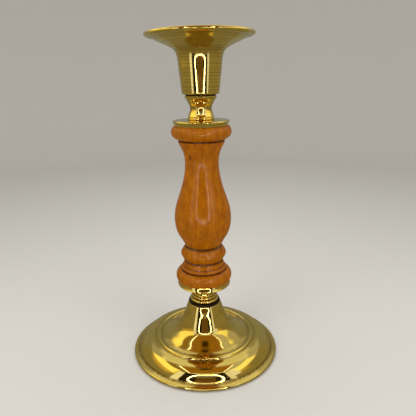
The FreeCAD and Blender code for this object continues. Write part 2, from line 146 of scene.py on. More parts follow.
# ---------------------------------------------------------------- outlines
SAME_PLACE = 1e-6            # points nearer than this, in millimetres, are one
LONG_SIDE = 6                # a side longer than this many cuts gets a guard point


class Outline:
    """Half of a turned section, in millimetres from the axis and from the piece's own underside."""

    def __init__(self, radius, height, step=0.4):
        self.points = [Vector((radius, height))]
        self.marks = [0.0]
        self.step = step

    def _add(self, points, marks):
        self.points += points
        self.marks += [marks] * len(points)
        return self

    def line(self, radius, height, step=None, marks=0.0):
        """A straight stretch, cut into steps where it has to follow marks or unevenness."""
        start, end = self.points[-1], Vector((radius, height))
        count = max(1, round((end - start).length / step)) if step else 1
        return self._add([start.lerp(end, i / count) for i in range(1, count + 1)], marks)

    def arc(self, via, end):
        """The circle's arc that runs through via to the end."""
        a, b, c = self.points[-1], Vector(via), Vector(end)
        squares = [p.length_squared for p in (a, b, c)]
        turn = 2 * (a.x * (b.y - c.y) + b.x * (c.y - a.y) + c.x * (a.y - b.y))
        centre = Vector((
            (squares[0] * (b.y - c.y) + squares[1] * (c.y - a.y) + squares[2] * (a.y - b.y)) / turn,
            (squares[0] * (c.x - b.x) + squares[1] * (a.x - c.x) + squares[2] * (b.x - a.x)) / turn))
        radius = (a - centre).length
        first, middle, last = (math.atan2(p.y - centre.y, p.x - centre.x) for p in (a, b, c))
        sweep = (last - first) % math.tau
        if (middle - first) % math.tau > sweep:
            sweep -= math.tau
        count = max(6, round(abs(sweep) * radius / self.step))
        angles = [first + sweep * i / count for i in range(1, count + 1)]
        return self._add([centre + radius * Vector((math.cos(t), math.sin(t))) for t in angles], 0.0)

    def curve(self, *stops, start, finish, step=None, marks=0.0):
        """A smooth curve through the stops that leaves and arrives in the directions given."""
        knots = np.array([self.points[-1][:]] + [list(stop) for stop in stops], float)
        spans = np.linalg.norm(np.diff(knots, axis=0), axis=1)
        slopes = np.zeros_like(knots)
        slopes[0] = Vector(start).normalized()[:]
        slopes[-1] = Vector(finish).normalized()[:]
        inner = len(knots) - 2
        if inner:
            rows, sums = np.zeros((inner, inner)), np.zeros((inner, 2))
            for i in range(inner):
                before, after = spans[i], spans[i + 1]
                rows[i, i] = 2 * (before + after)
                sums[i] = 3 * (after / before * (knots[i + 1] - knots[i])
                               + before / after * (knots[i + 2] - knots[i + 1]))
                if i:
                    rows[i, i - 1] = after
                else:
                    sums[i] -= after * slopes[0]
                if i < inner - 1:
                    rows[i, i + 1] = before
                else:
                    sums[i] -= before * slopes[-1]
            slopes[1:-1] = np.linalg.solve(rows, sums)
        points = []
        for i, span in enumerate(spans):
            count = max(2, round(span / (step or self.step)))
            for t in np.arange(1, count + 1) / count:
                points.append(Vector((2 * t**3 - 3 * t**2 + 1) * knots[i]
                                     + (t**3 - 2 * t**2 + t) * span * slopes[i]
                                     + (3 * t**2 - 2 * t**3) * knots[i + 1]
                                     + (t**3 - t**2) * span * slopes[i + 1]))
        return self._add(points, marks)

    def broken(self, radius, sharp=math.radians(18), steepest=2.4, share=0.42, guard=2.2):
        """The same outline with its edges taken off, as (point, mark weight) pairs, and whether it is closed.

        An edge turns by more than sharp, and its cut takes at most a share of each side next to it. On a
        long side, a guard point a few cuts away keeps the shading of the rest flat.
        """
        closed = self.points[0].x > 0
        points, marks = list(self.points), list(self.marks)
        if closed and (points[0] - points[-1]).length < SAME_PLACE:
            points.pop()
            marks.pop()
        pairs = []
        for i, here in enumerate(points):
            ends = not closed and i in (0, len(points) - 1)
            into, out = here - points[i - 1], points[(i + 1) % len(points)] - here
            if ends or abs(into.angle(out)) < sharp:
                pairs.append((here, marks[i]))
                continue
            reach = radius * math.tan(min(into.angle(out), steepest) / 2)
            cut_in, cut_out = (min(reach, share * side.length) for side in (into, out))
            start, end = here - into.normalized() * cut_in, here + out.normalized() * cut_out
            if into.length > LONG_SIDE * cut_in:
                pairs.append((here - into.normalized() * cut_in * guard, marks[i]))
            for t in (0.0, 0.25, 0.5, 0.75, 1.0):
                pairs.append(((1 - t)**2 * start + 2 * t * (1 - t) * here + t * t * end, marks[i]))
            if out.length > LONG_SIDE * cut_out:
                pairs.append((here + out.normalized() * cut_out * guard, marks[(i + 1) % len(points)]))
        return pairs, closed


def hollows(points, closed, reach=1.3, deepest=math.radians(55)):
    """How deep in a corner or groove each point lies, from 0 on open faces to 1, and how far along it is.

    The points run clockwise round the solid, so that a turn to the left is a hollow. Turns within reach,
    in millimetres, count together, and a hollow is deepest where they come to that angle.
    """
    size = len(points)
    turns = np.zeros(size)
    for i in range(size):
        if closed or 0 < i < size - 1:
            into, out = points[i] - points[i - 1], points[(i + 1) % size] - points[i]
            if into.length > SAME_PLACE and out.length > SAME_PLACE:
                turns[i] = math.atan2(into.cross(out), into.dot(out))
    along = np.cumsum([(points[i] - points[i - 1]).length for i in range(size)])
    apart = np.abs(along[:, None] - along[None, :])
    if closed:
        apart = np.minimum(apart, along[-1] - apart)
    weight = np.exp(-(apart / reach) ** 2)
    return np.clip((weight * turns[None, :]).sum(1) / deepest, 0, 1), along


# ---------------------------------------------------------------- node trees
class Graph:
    """Short calls that add nodes to one tree."""

    def __init__(self, tree):
        self.tree = tree

    def node(self, kind, inputs=None, **settings):
        node = self.tree.nodes.new(kind)
        for key, value in settings.items():
            setattr(node, key, value)
        for key, value in (inputs or {}).items():
            self.fill(node.inputs[key], value)
        return node

    def fill(self, socket, value):
        """Links another node's output to the socket, or sets a plain value on it."""
        if isinstance(value, bpy.types.NodeSocket):
            self.tree.links.new(value, socket)
        else:
            socket.default_value = value

    def math(self, operation, *values, clamp=False):
        node = self.node("ShaderNodeMath", operation=operation, use_clamp=clamp)
        for socket, value in zip(node.inputs, values):
            self.fill(socket, value)
        return node.outputs[0]

    def total(self, a, b):
        return self.math("ADD", a, b)

    def product(self, a, b):
        return self.math("MULTIPLY", a, b)

    def weighted(self, *shares):
        """The total of some values, each with its own weight."""
        *others, total = [self.product(value, weight) for value, weight in shares]
        for value in reversed(others):
            total = self.total(value, total)
        return total

    def vector(self, operation, *values):
        node = self.node("ShaderNodeVectorMath", operation=operation)
        for socket, value in zip(node.inputs, values):
            self.fill(socket, value)
        return node.outputs["Value" if operation in ("LENGTH", "DOT_PRODUCT") else "Vector"]

    def scaled(self, vector, scale):
        return self.node("ShaderNodeVectorMath", {0: vector, "Scale": scale}, operation="SCALE").outputs[0]

    def parts(self, vector):
        return self.node("ShaderNodeSeparateXYZ", {0: vector}).outputs

    def ease(self, value, lowest, highest, start=0.0, end=1.0):
        """Value mapped smoothly from one range to another."""
        return self.node("ShaderNodeMapRange", {0: value, 1: lowest, 2: highest, 3: start, 4: end},
                         interpolation_type="SMOOTHSTEP").outputs[0]

    def mix(self, factor, a, b):
        node = self.node("ShaderNodeMix", data_type="RGBA", clamp_factor=True)
        self.fill(node.inputs[0], factor)
        for socket, value in ((node.inputs[6], a), (node.inputs[7], b)):
            self.fill(socket, value if isinstance(value, bpy.types.NodeSocket) else (*value[:3], 1.0))
        return node.outputs[2]

    def noise(self, vector, detail=2.0, roughness=0.5, distortion=0.0):
        """Soft noise with lumps about one unit of the vector across."""
        return self.node("ShaderNodeTexNoise", {"Vector": vector, "Scale": 1.0, "Detail": detail,
                                                "Roughness": roughness, "Distortion": distortion}).outputs[0]

    def bands(self, value, detail=2.0):
        """Noise along one line only, with bands about one unit of the value wide."""
        return self.node("ShaderNodeTexNoise", {"W": value, "Scale": 1.0, "Detail": detail},
                         noise_dimensions="1D").outputs[0]


def geometry_tree(name, inputs):
    """An empty Geometry Nodes tree with named inputs: (graph, group input's outputs, finish)."""
    tree = bpy.data.node_groups.new(name, "GeometryNodeTree")
    tree.interface.new_socket(name="Geometry", in_out="INPUT", socket_type="NodeSocketGeometry")
    for label, kind, default in inputs:
        socket = tree.interface.new_socket(name=label, in_out="INPUT", socket_type=f"NodeSocket{kind}")
        if default is not None:
            socket.default_value = default
    tree.interface.new_socket(name="Geometry", in_out="OUTPUT", socket_type="NodeSocketGeometry")
    graph = Graph(tree)
    source = graph.node("NodeGroupInput").outputs

    def finish(mesh):
        smooth = graph.node("GeometryNodeSetShadeSmooth", {"Geometry": mesh}).outputs[0]
        painted = graph.node("GeometryNodeSetMaterial", {"Geometry": smooth, "Material": source["Material"]})
        real = graph.node("GeometryNodeRealizeInstances", {"Geometry": painted.outputs[0]})
        graph.node("NodeGroupOutput", {"Geometry": real.outputs[0]})
        return tree

    return graph, source, finish


CORE = 1.0 * MM            # radius of the circle that an outline is carried round
SEAM = 0.002 * MM          # points nearer than this are one, where the turning closes


def lathe_tree():
    """Carries an outline round the Z axis, then cuts in the marks and the slight unevenness of handwork."""
    graph, source, finish = geometry_tree("Lathe", (
        ("Segments", "Int", 128),
        ("Mark Spacing", "Float", 0.8 * MM),
        ("Mark Depth", "Float", 0.0),
        ("Unevenness", "Float", 0.0),
        ("Unevenness Size", "Float", 15 * MM),
        ("Material", "Material", None),
    ))
    outline = graph.node("GeometryNodeMeshToCurve", {"Mesh": source["Geometry"]}).outputs[0]
    place = graph.parts(graph.node("GeometryNodeInputPosition").outputs[0])
    flat = graph.node("ShaderNodeCombineXYZ", {"X": graph.math("SUBTRACT", place["X"], CORE),
                                               "Y": graph.math("MULTIPLY", place["Z"], -1.0)}).outputs[0]
    profile = graph.node("GeometryNodeSetPosition", {"Geometry": outline, "Position": flat}).outputs[0]
    circle = graph.node("GeometryNodeCurvePrimitiveCircle",
                        {"Resolution": source["Segments"], "Radius": CORE})
    swept = graph.node("GeometryNodeCurveToMesh", {"Curve": circle.outputs[0], "Profile Curve": profile})
    joined = graph.node("GeometryNodeMergeByDistance", {"Geometry": swept.outputs[0], "Distance": SEAM})

    def attribute(name):
        return graph.node("GeometryNodeInputNamedAttribute", {"Name": name}, data_type="FLOAT").outputs[0]

    ridges = graph.bands(graph.math("DIVIDE", attribute("along"), source["Mark Spacing"]))
    cut = graph.product(ridges, graph.product(attribute("marks"), source["Mark Depth"]))
    position = graph.node("GeometryNodeInputPosition").outputs[0]
    per_lump = graph.math("DIVIDE", 1.0, source["Unevenness Size"])
    lumps = graph.noise(graph.scaled(position, per_lump), detail=1.0)
    inward = graph.product(graph.total(cut, graph.product(lumps, source["Unevenness"])), -1.0)
    offset = graph.scaled(graph.node("GeometryNodeInputNormal").outputs[0], inward)
    moved = graph.node("GeometryNodeSetPosition", {"Geometry": joined.outputs[0], "Offset": offset})
    return finish(moved.outputs[0])


def thread_tree(crest=0.07, root=0.43):
    """Cuts a right-hand thread into the wall of a turned bar.

    The flank runs from crest to root, which are counted in pitches from the middle of the crest.
    """
    graph, source, finish = geometry_tree("Screw Thread", (
        ("Pitch", "Float", 1.0 * MM),
        ("Depth", "Float", 0.5 * MM),
        ("Lowest", "Float", 0.0),
        ("Highest", "Float", 1.0),
        ("Material", "Material", None),
    ))
    position = graph.node("GeometryNodeInputPosition").outputs[0]
    place = graph.parts(position)
    angle = graph.math("ARCTAN2", place["Y"], place["X"])
    turns = graph.math("SUBTRACT", graph.math("DIVIDE", place["Z"], source["Pitch"]),
                       graph.math("DIVIDE", angle, math.tau))
    cut = graph.ease(graph.math("PINGPONG", turns, 0.5), crest, root)
    lead_in = graph.ease(place["Z"], source["Lowest"], graph.total(source["Lowest"], source["Pitch"]))
    lead_out = graph.ease(place["Z"], source["Highest"],
                          graph.math("SUBTRACT", source["Highest"], source["Pitch"]))
    depth = graph.product(graph.product(cut, source["Depth"]), graph.product(lead_in, lead_out))
    outward = graph.vector("NORMALIZE", graph.vector("MULTIPLY", position, (1.0, 1.0, 0.0)))
    offset = graph.scaled(outward, graph.product(depth, -1.0))
    moved = graph.node("GeometryNodeSetPosition", {"Geometry": source["Geometry"], "Offset": offset})
    return finish(moved.outputs[0])


def run_tree(piece, tree, values):
    """Runs a tree on a piece, with its inputs set by name, and leaves a plain mesh."""
    modifier = piece.modifiers.new(tree.name, "NODES")
    modifier.node_group = tree
    sockets = {item.name: item.identifier for item in tree.interface.items_tree
               if item.item_type == "SOCKET" and item.in_out == "INPUT"}
    for label, value in values.items():
        modifier[sockets[label]] = value
    piece.update_tag()
    bpy.context.view_layer.update()
    evaluated = piece.evaluated_get(bpy.context.evaluated_depsgraph_get())
    made = bpy.data.meshes.new_from_object(evaluated)
    piece.modifiers.remove(modifier)
    piece.data = made


def linked(thing):
    bpy.context.scene.collection.objects.link(thing)
    return thing


def face_outwards(mesh, same=0.0005 * MM, vanishing=0.0002 * MM):
    """Closes seams and poles, then turns every face outwards."""
    work = bmesh.new()
    work.from_mesh(mesh)
    bmesh.ops.remove_doubles(work, verts=work.verts, dist=same)
    bmesh.ops.dissolve_degenerate(work, edges=work.edges, dist=vanishing)
    bmesh.ops.recalc_face_normals(work, faces=work.faces)
    work.to_mesh(mesh)
    work.free()


def turned(name, node, outline, material, marks=False, uneven=0.0, uneven_size=15.0, segments=None):
    """A turned piece: its outline stood on the node's underside and carried round the axis."""
    settings = bpy.context.scene.candlestick_turning
    base = low(node)
    pairs, closed = outline.broken(settings.edge_break)
    if sum(pairs[i - 1][0].cross(pairs[i][0]) for i in range(len(pairs))) > 0:
        pairs.reverse()     # every outline runs clockwise, so that the marks only cut into the piece
    points = [point for point, _ in pairs]
    depths, along = hollows(points, closed)
    mesh = bpy.data.meshes.new(name)
    size = len(points)
    rim = [(i, i + 1) for i in range(size - 1)] + ([(size - 1, 0)] if closed else [])
    mesh.from_pydata([(p.x * MM, 0.0, (p.y + base) * MM) for p in points], rim, [])
    for label, values in (("marks", [mark for _, mark in pairs]), ("hollow", depths), ("along", along * MM)):
        stored = mesh.attributes.new(label, "FLOAT", "POINT")
        stored.data.foreach_set("value", np.array(values, np.float32))
    piece = linked(bpy.data.objects.new(name, mesh))
    run_tree(piece, bpy.data.node_groups.get("Lathe") or lathe_tree(), {
        "Segments": segments or settings.segments,
        "Mark Spacing": settings.mark_spacing,
        "Mark Depth": settings.mark_depth if marks else 0.0,
        "Unevenness": uneven * MM,
        "Unevenness Size": uneven_size * MM,
        "Material": material})
    piece.data.name = name
    face_outwards(piece.data)
    return piece


def place(piece, body, slot, node):
    """Hangs a finished piece on its body and hides the node that it stands in for."""
    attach(piece, body)
    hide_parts(node)


# ---------------------------------------------------------------- brass outlines
def foot_outline(settings):
    """The bell: neck, flare, raised ring, shoulder, creased flange, rounded edge, felt seat and hollow."""
    rim, top = wide("foot"), tall("foot")
    bore, seat = wide("tie_rod") + BORE_CLEARANCE, wide("felt_pad") + FELT_CLEARANCE
    seat_depth = high("felt_pad") - low("foot")
    web = high("base_washer") - low("foot")
    ridge, shoulder, neck = rim - 20.6, rim - 9.2, 13.4
    ridge_top, crease_height = 14.5, 2.9
    # each stop is a radius and a height, with the direction that its wall's thickness is measured in
    bell = [
        (rim - 4.3, crease_height, 0.45, 0.9), (shoulder + 3.9, 5.0, 0.9, 0.42),
        (shoulder + 1.7, 7.8, 0.77, 0.64), (shoulder, 9.4, 0.62, 0.78), (shoulder - 5.0, 12.0, 0.4, 0.92),
        (ridge + 2.4, 12.85, 0.22, 0.97), (ridge - 2.2, 13.9, 0.15, 0.99), (ridge - 9.8, 17.5, 0.4, 0.92),
        (21.6, 23.8, 0.7, 0.7), (18.2, 29.6, 0.89, 0.45), (16.1, 34.4, 0.93, 0.36)]
    crease, *plate, toe, dip, bowl, flare, gullet, throat = [stop[:2] for stop in bell]
    inside = [(radius - FOOT_WALL * across, height - FOOT_WALL * up) for radius, height, across, up in bell]

    foot = Outline(bore, top, settings.outline_step)
    foot.line(neck - 0.5, top)
    foot.arc((neck - 0.15, top - 0.15), (neck, top - 0.5))
    foot.curve((neck + 1.02, top - 3.0), throat, gullet, flare, bowl, dip,
               start=(0.38, -1), finish=(1, -0.12))
    foot.arc((ridge - 0.3, ridge_top), (ridge + 1.3, ridge_top - 1.1))
    foot.line(ridge + 1.6, ridge_top - 1.5)
    foot.curve(toe, *reversed(plate), crease, start=(1, -0.15), finish=(0.45, -1))
    foot.curve((rim - 2.0, crease_height - 0.6), (rim - 0.55, crease_height - 0.95),
               (rim, crease_height - 1.8), start=(1, 0.05), finish=(0, -1), step=0.25)
    foot.arc((rim - 0.35, 0.3), (rim - 1.2, 0))
    foot.line(seat, 0)
    foot.line(seat, seat_depth)
    foot.line(inside[0][0] - 2.2, seat_depth)
    foot.curve(*inside[1:], (inside[-1][0] - 0.5, web), start=(-0.9, 1), finish=(0, 1), step=1.2)
    return foot.line(bore, web)


def collar_outline(settings):
    """Two beads and a waist, under the lower disc."""
    bore, top = wide("tie_rod") + BORE_CLEARANCE, tall("lower_collar")
    bead, ring, neck = 11.8, 10.6, 8.8
    bead_top, ring_top = 3.2, 5.4
    collar = Outline(bore, 0, settings.outline_step * 0.6)
    collar.line(bead - 1.2, 0)
    collar.arc((bead, bead_top * 0.45), (bead - 1.5, bead_top - 0.1))
    collar.line(ring - 0.7, bead_top)
    collar.arc((ring, (bead_top + ring_top) / 2), (ring - 0.9, ring_top))
    collar.line(neck + 0.5, ring_top)
    collar.arc((neck + 0.9, ring_top + 0.8), (neck + 0.3, ring_top + 1.6))
    collar.arc((neck, ring_top + 3.2), (neck + 0.6, top - 2.0))
    collar.arc((ring - 0.6, top - 0.9), (ring, top))
    return collar.line(bore, top)


def disc_outline(settings, node, away):
    """A disc whose plain face is against the wood; away is 1 upwards or -1 downwards."""
    rim, thick, edge, boss = wide(node), tall(node), 4.4, 11.2
    bore = wide("tie_rod") + BORE_CLEARANCE
    plain = 0 if away > 0 else thick

    def out(height):
        return plain + away * height

    disc = Outline(bore, plain, settings.outline_step * 0.6)
    disc.line(rim - 1.5, plain)
    disc.arc((rim - 1.05, out(edge * 0.4)), (rim, out(edge * 0.8)))
    disc.arc((rim - 0.3, out(edge * 0.9 + 0.12)), (rim - 1.2, out(edge)))
    disc.line(boss, out(thick), step=1.5)
    return disc.line(bore, out(thick))


def stem_outline(settings):
    """The waisted stem, from its foot ring up to the calyx under the cup."""
    top = tall("cup_stem")
    thread, ring, ridge = wide("cup_stud") + THREAD_CLEARANCE, 1.8, top - 4.9
    neck = (ring + ridge) / 2 + 0.9
    base_radius, waist, ridge_radius, calyx = 9.6, 8.05, 9.6, 12.0
    stem = Outline(thread, 0, settings.outline_step * 0.6)
    stem.line(base_radius, 0)
    stem.arc((base_radius + 0.5, ring / 2), (base_radius - 0.1, ring))
    stem.line(base_radius - 0.25, ring + 0.2)
    stem.line(base_radius + 0.25, ring + 0.5)
    stem.curve((waist + 0.65, neck - 2.85), (waist, neck), (waist + 0.6, ridge - 1.6),
               start=(-0.6, 1), finish=(0.6, 1))
    stem.line(ridge_radius, ridge - 0.2)
    stem.line(ridge_radius, ridge + 0.6)
    stem.curve((calyx - 0.8, ridge + 2.8), (calyx, top - 0.4), start=(0.7, 0.8), finish=(0.3, 1))
    stem.line(calyx - 0.3, top)
    return stem.line(thread, top)


def cup_outline(settings):
    """Barrel, cone, thickened edge, dished pan, mouth, socket and the pocket for the nut."""
    top, pan = tall("candle_cup"), wide("candle_cup")
    thread = wide("cup_stud") + THREAD_CLEARANCE
    lip = pan - 3.0
    floor = low("cup_nut") - low("candle_cup")
    pocket = wide("cup_nut") + NUT_ROOM
    ledge = high("cup_nut") + NUT_COVER - low("candle_cup")
    socket = CANDLE / 2 + CANDLE_CLEARANCE
    mouth = ledge + SOCKET_DEPTH
    waist, corner, edge = top - 17.8, top - 11.4, top - 3.5
    barrel = socket + CUP_WALL
    marked = {"step": 0.2, "marks": 1.0}

    cup = Outline(thread, 0, settings.outline_step)
    cup.line(barrel - 1.0, 0)
    cup.arc((barrel - 0.3, 0.3), (barrel, 1.0))
    cup.line(barrel + 1.8, waist - 7.0, **marked)
    cup.curve((barrel + 2.5, waist), (barrel + 3.5, waist + 3.9), (barrel + 4.75, corner - 0.6),
              start=(0.1, 1), finish=(0.7, 0.7), **marked)
    cup.line(barrel + 5.25, corner)
    cup.curve((barrel + 8.65, corner + 1.95), (barrel + 17.25, corner + 5.8), (lip, edge + 0.35),
              start=(1, 0.6), finish=(1, 0.3))
    cup.line(lip + 0.3, edge)
    cup.curve((lip + 2.1, edge + 0.8), (pan, top - 1.4), (pan - 1.5, top),
              start=(1, 0.15), finish=(-1, 0.15), step=0.2)
    cup.line(pan - 2.1, top)
    cup.curve((lip - 1.4, edge + 1.95), (barrel + 6.45, corner + 3.2), (barrel + 0.9, corner - 0.4),
              (socket, mouth), start=(-0.5, -1), finish=(-0.25, -1), step=0.6)
    cup.line(socket, ledge, step=2.0)
    cup.line(pocket, ledge)
    cup.line(pocket, floor)
    return cup.line(thread, floor)


def washer_outline(settings, node, bore, crown=0.25):
    """A flat washer with the edge slightly crowned by the squeeze."""
    rim, thick = wide(node), tall(node)
    washer = Outline(bore, 0, settings.outline_step * 0.5)
    washer.line(rim - crown, 0)
    washer.arc((rim, thick / 2), (rim - crown, thick))
    return washer.line(bore, thick)


def stud_outline(settings, chamfer=0.6, steps_per_turn=10):
    """A plain bar with chamfered ends, in short steps that the thread is cut into."""
    length, radius = tall("cup_stud"), wide("cup_stud")
    stud = Outline(0, 0, settings.outline_step)
    stud.line(radius - chamfer, 0)
    stud.line(radius, chamfer)
    stud.line(radius, length - chamfer, step=settings.thread_pitch / MM / steps_per_turn)
    stud.line(radius - chamfer, length)
    return stud.line(0, length)


# ---------------------------------------------------------------- wood and felt outlines
def baluster_outline(settings):
    """From the base up: torus, groove, fillet, cove, bead, vase, neck, fillet, groove and top bead."""
    top = tall("baluster")
    bore = wide("tie_rod") + WOOD_BORE_CLEARANCE
    torus, fillet, cove = 9.6, 11.9, 17.8
    bead = cove + 11.7
    belly = bead + 22.5
    groove = top - 10.9
    collar = groove - 1.8
    neck = collar - 15.2
    foot_radius, neck_radius, belly_radius = 14.5, 13.05, 22.4
    cap = wide("baluster")
    swell, waist = belly_radius - foot_radius, belly_radius - neck_radius

    wood = Outline(bore, 0, settings.outline_step)
    wood.line(21.6, 0)
    wood.curve((22.65, torus * 0.44), (21.3, torus * 0.81), (18.7, torus - 0.4),
               start=(0.6, 1), finish=(-1, 0.3))
    wood.line(17.1, torus)
    wood.line(18.0, torus + 0.4)
    wood.arc((18.35, torus + 1.38), (17.7, fillet))
    wood.curve((16.5, fillet + 2.36), (15.4, cove), start=(-1, 0.35), finish=(-0.05, 1))
    wood.curve((17.05, cove + 2.22), (18.25, cove + 5.38), (17.1, cove + 8.19), (14.7, bead - 0.5),
               start=(0.8, 0.6), finish=(-0.8, 0.6))
    wood.line(foot_radius - 0.4, bead)
    wood.line(foot_radius, bead + 0.5)
    rising = [(foot_radius + swell * share, bead + up)
              for share, up in ((0.25, 4.5), (0.57, 8.66), (0.8, 12.6), (0.93, 16.65))]
    narrowing = [(neck_radius + waist * share, belly + (neck - belly) * up)
                 for share, up in ((0.865, 0.23), (0.595, 0.41), (0.32, 0.59), (0.105, 0.78))]
    wood.curve(*rising, (belly_radius, belly), *narrowing, (neck_radius, neck),
               (neck_radius + 0.5, neck + 5.62), (neck_radius + 1.65, neck + 9.73),
               (16.3, collar - 2.2), (17.25, collar), start=(0.55, 1), finish=(0.3, 1))
    wood.line(17.95, groove - 0.4)
    wood.line(17.05, groove)
    wood.line(17.95, groove + 0.8)
    wood.curve((20.55, groove + 2.4), (cap - 0.85, groove + 3.92), (cap, groove + 6.87), (21.2, top),
               start=(1, 0.6), finish=(-0.8, 1))
    return wood.line(bore, top)


def felt_outline(settings):
    """A disc of pressed felt with a soft cut edge."""
    rim, thick = wide("felt_pad"), tall("felt_pad")
    felt = Outline(0, 0, settings.outline_step)
    felt.line(rim - 0.5, 0, step=1.5)
    felt.arc((rim, thick / 2), (rim - 0.4, thick))
    return felt.line(0, thick, step=4.0)


# ---------------------------------------------------------------- finishes
class Finish(Graph):
    """A new material with one Principled shader, and the patterns that its look is mixed from."""

    def __init__(self, name):
        self.material = bpy.data.materials.new(name)
        self.material.use_nodes = True
        super().__init__(self.material.node_tree)
        self.tree.nodes.clear()
        self.shader = self.node("ShaderNodeBsdfPrincipled")
        self.output = self.node("ShaderNodeOutputMaterial", {"Surface": self.shader.outputs[0]})
        self.place = self.node("ShaderNodeTexCoord").outputs["Object"]

    def set(self, **values):
        """Sets or links the shader's inputs, named with _ for each space."""
        for name, value in values.items():
            self.fill(self.shader.inputs[name.replace("_", " ")], value)

    def stored(self, name):
        """A value that the turning left on the mesh."""
        return self.node("ShaderNodeAttribute", attribute_name=name, attribute_type="GEOMETRY").outputs["Fac"]

    def steps(self, across, along=None):
        """Object coordinates counted in steps of so many millimetres across and along the axis."""
        sizes = (across, across, along or across)
        return self.vector("MULTIPLY", self.place, tuple(1 / (size * MM) for size in sizes))

    def grain(self, across, along=None, **character):
        """Noise with lumps of about that many millimetres across and along the axis."""
        return self.noise(self.steps(across, along), **character)

    def relief(self, height, strength, depth):
        """Fine relief, of so many millimetres at full strength."""
        bump = self.node("ShaderNodeBump", {"Height": height, "Strength": strength, "Distance": depth * MM})
        self.set(Normal=bump.outputs[0])
        return bump.outputs[0]


def brass_finish(name, lines, haze=1.0):
    """Polished brass: the tool's lines round it, a faint uneven haze, and brown film left in the corners."""
    settings = bpy.context.scene.candlestick_brass
    colour, tarnish = tuple(settings.colour), tuple(settings.tarnish)
    fine_line, coarse_line = 0.42 * MM, 0.9 * MM
    cloud_size, smear_size, speck_size = 11, 2.2, 0.5
    redder = (0.90, 0.80, 0.62)
    film_dulls, haze_dulls, lines_dull = 0.38, 0.045 * haze, 0.03 * lines
    line_depth, smear_depth = -3.0, 0.25

    brass = Finish(name)
    along, hollow = brass.stored("along"), brass.stored("hollow")
    tool = brass.bands(brass.math("DIVIDE", along, fine_line), detail=3.0)
    scored = brass.bands(brass.math("DIVIDE", along, coarse_line))
    cloud = brass.grain(cloud_size, detail=4.0, roughness=0.6)
    smear = brass.grain(smear_size, detail=3.0, roughness=0.6)
    specks = brass.grain(speck_size, detail=1.0)
    film = brass.math("MULTIPLY", hollow, brass.ease(smear, 0.25, 0.7, start=0.35), clamp=True)
    warm = tuple(channel * share for channel, share in zip(colour, redder))
    bare = brass.mix(brass.ease(cloud, 0.42, 0.72, end=0.45), colour, warm)
    spotted = brass.mix(brass.ease(specks, 0.70, 0.80, end=0.35), bare, tarnish)
    lined = brass.mix(brass.ease(scored, 0.48, 0.66, end=0.42 * lines), spotted, tarnish)
    polish = brass.total(settings.roughness, brass.ease(cloud, 0.35, 0.75, end=haze_dulls))
    dulled = brass.total(polish, brass.product(film, film_dulls))
    brass.set(Base_Color=brass.mix(film, lined, tarnish), Metallic=1.0,
              Roughness=brass.total(dulled, brass.product(tool, lines_dull)))
    cuts = brass.product(brass.total(brass.product(scored, line_depth), tool), lines)
    brass.relief(brass.total(cuts, brass.product(smear, smear_depth)), strength=0.16, depth=0.02)
    return brass.material


def wood_finish(name):
    """Close-grained wood stained honey brown: fibres, growth bands, pores, knot, painted shade and dust in
    the grooves, varnish.
    """
    settings = bpy.context.scene.candlestick_wood
    light, dark, dust_colour = tuple(settings.light), tuple(settings.dark), tuple(settings.dust)
    pore_colour, knot_colour = (0.10, 0.022, 0.002), (0.10, 0.028, 0.006)
    # painted shade: the near-black red that grooves and corners are darkened towards
    groove_shade_colour = (0.075, 0.016, 0.004)
    fibre_size, drift_size, pore_size, mottle_size = (0.75, 9), (9, 60), (0.30, 3.2), (5, 7)
    smear_size = 5
    heart_angle, lean, bands_per_mm, waviness = 0.4, 0.012, 0.42, 2.2
    heart = (math.cos(heart_angle) / MM, math.sin(heart_angle) / MM, lean / MM)
    bare_roughness, dust_dulls = 0.34, 0.4

    wood = Finish(name)
    hollow = wood.stored("hollow")
    fibres = wood.grain(*fibre_size, detail=4.0, roughness=0.62, distortion=0.3)
    mottle = wood.grain(*mottle_size, detail=4.0, roughness=0.6)
    pores = wood.ease(wood.grain(*pore_size, detail=1.0), 0.66, 0.78)
    from_heart = wood.vector("DOT_PRODUCT", wood.place, heart)
    growth = wood.bands(wood.total(wood.product(from_heart, bands_per_mm),
                                   wood.product(wood.grain(*drift_size), waviness)))
    grain = wood.weighted((fibres, 0.34), (growth, 0.28), (mottle, 0.46))
    stain = wood.mix(wood.ease(grain, 0.36, 0.72), dark, light)
    flecked = wood.mix(wood.product(pores, 0.45), stain, pore_colour)
    from_knot = wood.vector("MULTIPLY", wood.vector("SUBTRACT", wood.place, KNOT * MM),
                            tuple(1 / (size * MM) for size in KNOT_SIZE))
    raggedness = wood.product(wood.math("SUBTRACT", fibres, 0.5), 0.9)
    ragged = wood.total(wood.vector("LENGTH", from_knot), raggedness)
    knotted = wood.mix(wood.ease(ragged, 1.25, 0.55, end=0.8), flecked, knot_colour)
    # painted shade: the wood darkens in its grooves and corners, the more the deeper the hollow
    groove_shaded = wood.mix(wood.ease(hollow, 0.05, 0.75, end=0.85), knotted, groove_shade_colour)
    smear = wood.grain(smear_size, detail=3.0, roughness=0.65)
    dust = wood.math("MULTIPLY", wood.ease(hollow, 0.55, 0.95), wood.ease(smear, 0.46, 0.62), clamp=True)
    wood.set(Base_Color=wood.mix(wood.product(dust, 0.75), groove_shaded, dust_colour),
             Roughness=wood.total(bare_roughness, wood.product(dust, dust_dulls)),
             Specular_IOR_Level=0.0, Coat_Weight=0.5, Coat_Roughness=settings.gloss, Coat_IOR=1.5)
    height = wood.weighted((fibres, 0.8), (pores, -0.6), (mottle, 2.5))
    wood.set(Coat_Normal=wood.relief(height, strength=0.22, depth=0.05))
    return wood.material


